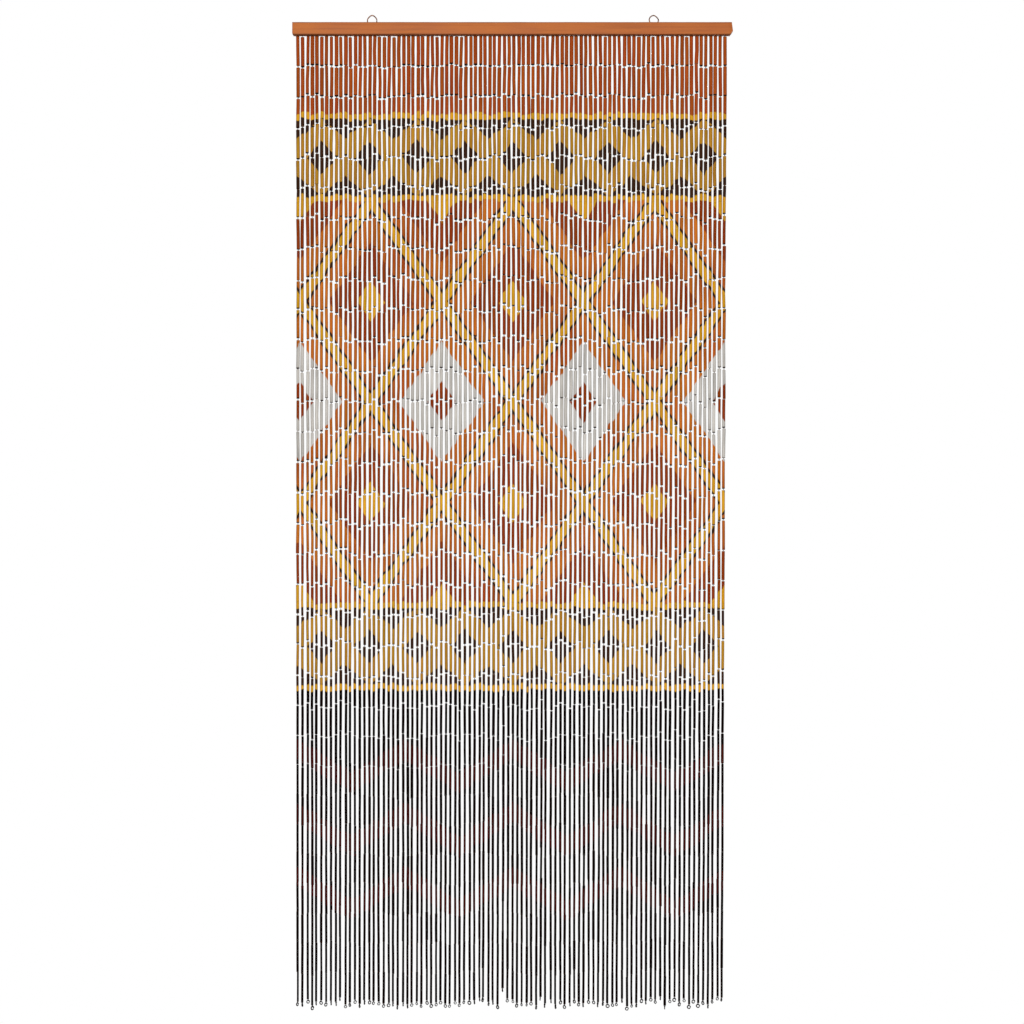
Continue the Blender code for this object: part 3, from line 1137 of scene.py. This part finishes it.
# %% Build the eye pieces
STRANDS_PER_WIRE_PIECE = 30
for index, group in groups(STRANDS_PER_WIRE_PIECE):
    wire_piece(f"wire_eyes_{index}", unit_eye, eyes_of(group), annealed_wire)

# %% [markdown]
# Pins for the tight joints.
# Low down the tubes almost touch, so a five-sided pin with chamfered ends is enough there. The same
# pin joins the last tube's bore to the eye that holds the end ring.

# %% Model and place the pins
PIN_LENGTH = 0.0040
LAST_PIN_RISE, LAST_PIN_SIZE = 0.0012, 0.85
fresh()
bpy.ops.mesh.primitive_cylinder_add(
    vertices=5, radius=EYE_WIRE / 2, depth=PIN_LENGTH, enter_editmode=True
)
pick("faces", looks_along)
bpy.ops.mesh.inset(thickness=EYE_WIRE * 0.12, depth=EYE_WIRE * 0.2)
unit_pin = leave_edit("unit_pin")
report(unit_pin)

of_joints = (joint_x, joint_y, joint_z)
of_last = (end_x[:, -1], end_y[:, -1], bottoms[:, -1] + LAST_PIN_RISE)
pin_place = [np.append(joint[~with_eyes], last) for joint, last in zip(of_joints, of_last)]
pin_size = np.append(joint_size[~with_eyes], np.full(strand_count, LAST_PIN_SIZE))
pin_turn = rng.uniform(0.0, math.pi, pin_size.shape)
pins = turned_copies(unit_pin, *pin_place, pin_turn, pin_size)
wire_piece("wire_pins", unit_pin, pins, annealed_wire, smooth_angle=50)

# %% [markdown]
# Paint on the wire at the foot.
# The foot was painted with its rings on. So the rings and their eyes are black too, and the dark steel
# shows only where they rub. One mask of noise sets both the colour and how metallic the wire is.

# %% Make the painted wire
painted_wire, drip_shader, tree = new_finish("painted_wire", 0.6, specular=0.06)
rub_wear_and_rail_shade = spread(noise(520.0), 0.58, 0.66)
drip = lay(linear(11, 5, 4), linear(60, 48, 42), rub_wear_and_rail_shade)
plug(drip_shader.inputs["Base Color"], drip)
plug(drip_shader.inputs["Metallic"], rub_wear_and_rail_shade)
bump(drip_shader, rub_wear_and_rail_shade, -0.00005, 0.4)

# %% [markdown]
# The end rings.
# Each strand ends in a jump ring of 2 mm wire, 6 to 9 mm across, that keeps the last tube on. A jump
# ring is not quite closed. One slice of a torus is taken out, both ends are filled, and one end is
# pushed aside by a third of a wire, as when pliers close it.

# %% Model the end ring
RING_OUTER = 0.0080
RING_WIRE = 0.0021
SLICE_ANGLE = math.radians(-30)
start_ring(RING_OUTER, RING_WIRE, 32, 6)


def past_slice(point):
    """How far round the ring a point is from the middle of the open slice, in radians."""
    return math.atan2(point.z, point.x) - SLICE_ANGLE


pick("faces", lambda face: abs(past_slice(face.calc_center_median())) < 0.10)
bpy.ops.mesh.delete(type="FACE")
pick("edges", lambda edge: edge.is_boundary)
bpy.ops.mesh.edge_face_add()
pick("verts", lambda vert: 0.0 < past_slice(vert.co) < 0.45)
bpy.ops.transform.translate(value=(0.0, RING_WIRE * 0.35, 0.0))
unit_ring = leave_edit("unit_ring")
report(unit_ring)

# %% [markdown]
# Hang the rings.
# The CAD's flat lozenges say where each ring hangs, how large it is and how far it is turned. Its eye
# stands across it, as one link of a chain stands across the next.

# %% Place the rings and their eyes
RING_EYE_SIZE = 1.35
RING_EYE_DROP = 0.00015
ring_top, ring_mid, ring_low = paths[:, 9], paths[:, 10], paths[:, 11]
ring_height = ring_top[:, 2] - ring_low[:, 2]
facing = np.arccos((ring_mid[:, 3] * 2 / ring_height).clip(0.0, 1.0))
facing *= rng.choice((-1.0, 1.0), strand_count)
ring_size = ring_height / RING_OUTER
rings = turned_copies(unit_ring, *ring_mid[:, :3].T, facing, ring_size)
wire_piece("end_rings", unit_ring, rings, painted_wire, smooth_angle=60)

eye_x, eye_y, eye_z = ring_top[:, :3].T
eye_z = eye_z - (RING_WIRE / 2 + RING_EYE_DROP) * ring_size
eyes = turned_copies(unit_eye, eye_x, eye_y, eye_z, facing + math.pi / 2, RING_EYE_SIZE * ring_size)
wire_piece("ring_eyes", unit_eye, eyes, painted_wire)

# %% [markdown]
# The carrying wire.
# A straight wire lies in the rail's groove, and all strands hang on it. Its ends turn up into the
# wood. It is bent in the same way as the loops.

# %% Bend the carrying wire
CARRIER = 0.0012
TURN_RADIUS = 0.0018
OVERHANG = 0.0022
carrier_z = rail_low.z + 0.0030
end_height = rail_low.z + GROOVE[2]
left_end, right_end = paths[0, 0, 0] - OVERHANG, paths[-1, 0, 0] + OVERHANG
quarter_turn = np.linspace(0.0, math.pi / 2, 6)
left_x = left_end + TURN_RADIUS * (1 - np.cos(quarter_turn))
left_z = carrier_z + TURN_RADIUS * (1 - np.sin(quarter_turn))
left_half = np.column_stack([np.append(left_end, left_x), np.append(end_height, left_z)])
right_half = (left_half * (-1.0, 1.0) + (left_end + right_end, 0.0))[::-1]
carrying_wire = bend_wire("carrying_wire", np.vstack([left_half, right_half]), CARRIER / 2, 10)
smooth(40)
hand_in(carrying_wire, [steel_wire], "strands")

# %% [markdown]
# The top hooks.
# A long link goes over the carrying wire and down into the eye of the first tube. Where a strand hangs
# lower, the link is longer. One link is modelled short, and each copy has its lower half moved down,
# so that the wire keeps its gauge.

# %% Model the link
LINK_OUTER = 0.0029
LINK_WIRE = 0.0008
LINK_DIP = 0.0008
LINK_PLAY = 0.00005
FIRST_EYE_DIP = 0.0006
start_ring(LINK_OUTER, LINK_WIRE, 10, 5, turn=math.pi / 2)
pick("verts", lambda vert: vert.co.z < -1e-5)
bpy.ops.transform.resize(value=(1.0, 0.9, 1.0))
unit_link = leave_edit("unit_link")
report(unit_link)

# %% Hang the links and the first eyes
base = corners_of(unit_link)
link_top = carrier_z + CARRIER / 2 + LINK_WIRE + LINK_PLAY
link_bottom = tops[:, 0] - LINK_DIP
stretch = (link_top - link_bottom) - LINK_OUTER
link_x = top_x[:, :1] + base[:, 0]
link_y = np.zeros((strand_count, 1)) + base[:, 1]
lowered = np.where(base[:, 2] < -1e-5, 1.0, 0.0)
link_z = link_top - LINK_OUTER / 2 + base[:, 2] - stretch[:, None] * lowered
wire_piece("top_links", unit_link, np.stack([link_x, link_y, link_z], axis=-1), annealed_wire)

first_size = np.minimum(thick[:, 0] * BORE_SHARE * EYE_FIT / EYE_OUTER, 1.0)
first_z = tops[:, 0] - FIRST_EYE_DIP
unturned = np.zeros(strand_count)
eyes = turned_copies(unit_eye, top_x[:, 0], top_y[:, 0], first_z, unturned, first_size, -1.0)
wire_piece("top_eyes", unit_eye, eyes, annealed_wire)
for unit in (unit_tube, unit_eye, unit_pin, unit_ring, unit_link):
    bpy.data.objects.remove(unit)

# %% [markdown]
# The floor. A pale floor below the curtain gives the lamps something to bounce from. It lies under
# the picture's lower edge.

# %% Lay the floor
FLOOR_DROP = 0.30
floor_finish, floor_shader, tree = new_finish("pale_floor", 0.8, specular=0.2)
dust = noise(3.0)
pale = lay(linear(236, 235, 232), linear(244, 243, 241), dust)
plug(floor_shader.inputs["Base Color"], pale)
plug(floor_shader.inputs["Emission Color"], pale)
floor_shader.inputs["Emission Strength"].default_value = 0.30
fresh()
floor_place = (0.0, -0.35, cad_low.z - FLOOR_DROP)
bpy.ops.mesh.primitive_plane_add(size=2.0, location=floor_place)
floor = bpy.context.active_object
floor.name = "floor"
bpy.ops.object.transform_apply()
floor.data.materials.append(floor_finish)
